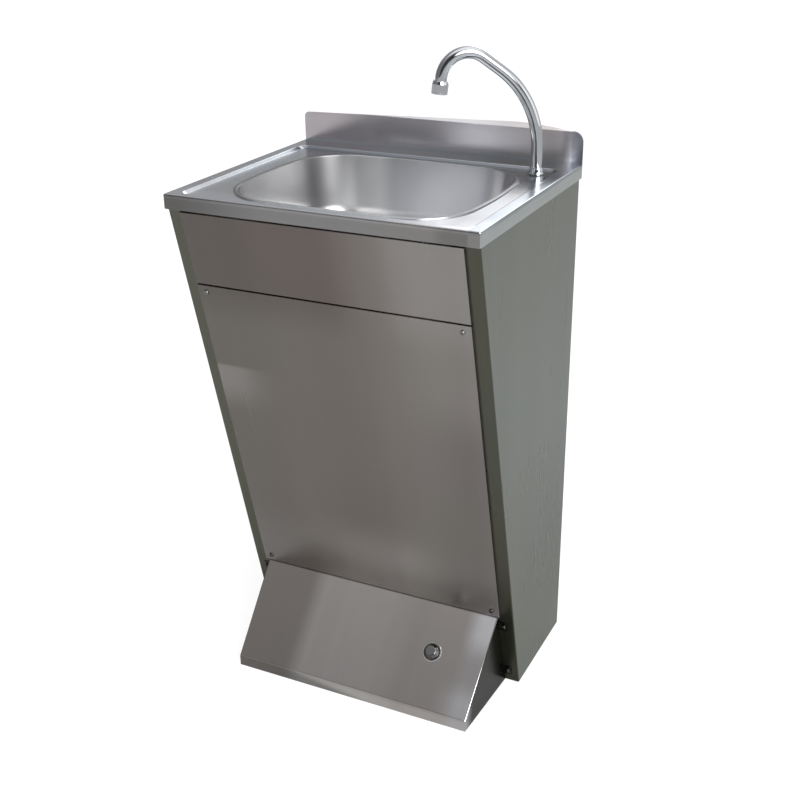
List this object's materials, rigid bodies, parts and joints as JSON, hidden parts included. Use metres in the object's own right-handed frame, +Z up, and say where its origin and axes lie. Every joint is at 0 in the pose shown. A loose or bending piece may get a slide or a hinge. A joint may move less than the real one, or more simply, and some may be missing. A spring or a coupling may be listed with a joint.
{
  "type": "hand wash sink",
  "caption": "Foot operated hand wash sink in brushed stainless steel: pressed bowl, sloping cabinet, swan neck spout and a push valve in the kick plate.",
  "frame": {"origin": "on the floor, under the middle of the whole outline", "axes": "+Z up, the front with the kick plate towards -Y, +X to the right seen from the front"},
  "size_m": [0.5, 0.4276, 1.0458],
  "materials": {
    "bowl_steel": "satin",
    "brass": "turned",
    "chrome": "polished",
    "fixings": "bright plated",
    "frame_steel": "plain mill finish",
    "kick_steel": "brushed",
    "pad": "bitumen felt",
    "panel_steel": "brushed",
    "pipe": "drawn tube",
    "plastic": "moulded",
    "rubber": "moulded",
    "side_steel": "brushed",
    "waste_steel": "polished",
    "worktop_steel": "satin"
  },
  "bodies": {
    "cabinet": {"access_panel": "panel_steel", "access_panel_screws": "fixings", "bowl": "bowl_steel", "button_wiper": "rubber", "drain_nuts": "plastic", "drain_seals": "rubber", "fascia_nuts": "fixings", "fascia_panel": "panel_steel", "inlet_union": "brass", "inlet_union_nut": "brass", "kick_plate": "kick_steel", "kick_plate_screws": "fixings", "kick_plate_washers": "fixings", "kick_rivet_nuts": "fixings", "olives": "brass", "outlet_pipe": "plastic", "panel_rivet_nuts": "fixings", "pipe_clips": "plastic", "rear_rail_lower": "frame_steel", "rear_rail_nuts": "fixings", "rear_rail_screws": "fixings", "rear_rail_upper": "frame_steel", "riser_pipe": "pipe", "side_panel_left": "side_steel", "side_panel_right": "side_steel", "sound_pads": "pad", "spout_base": "chrome", "spout_gasket": "rubber", "spout_lock_washer": "brass", "spout_locknut": "brass", "spout_retaining_screw": "fixings", "supply_pipe": "pipe", "tailpipe": "plastic", "trap_body": "plastic", "trap_cup": "plastic", "trap_seal": "rubber", "union_nuts": "brass", "valve_body": "brass", "valve_end_cap": "brass", "valve_locknut": "brass", "valve_spring": "fixings", "waste_body": "plastic", "waste_flange": "waste_steel", "waste_screw": "fixings", "waste_seal_lower": "rubber", "waste_seal_upper": "rubber", "worktop": "worktop_steel", "worktop_brackets": "frame_steel", "worktop_nuts": "fixings"},
    "spout": {"spout_tube": "chrome", "spout_orings": "rubber", "aerator_housing": "chrome", "aerator_insert": "plastic", "aerator_washer": "rubber"},
    "foot_button": {"foot_button": "chrome", "valve_stem": "brass", "poppet_seal": "rubber"}
  },
  "joints": [
    {"name": "spout_swivel", "type": "hinge", "parent": "cabinet", "child": "spout", "pos_m": [0.201, 0.12918, 0.852], "axis": [0, 0, 1], "range_deg": [-34, 56]},
    {"name": "button_push", "type": "slide", "parent": "cabinet", "child": "foot_button", "axis": [0, 0.7221, -0.6918], "range_m": [0, 0.008], "stiffness_N_per_m": 1500, "springref_m": -0.008, "deforming": ["valve_spring"]}
  ]
}
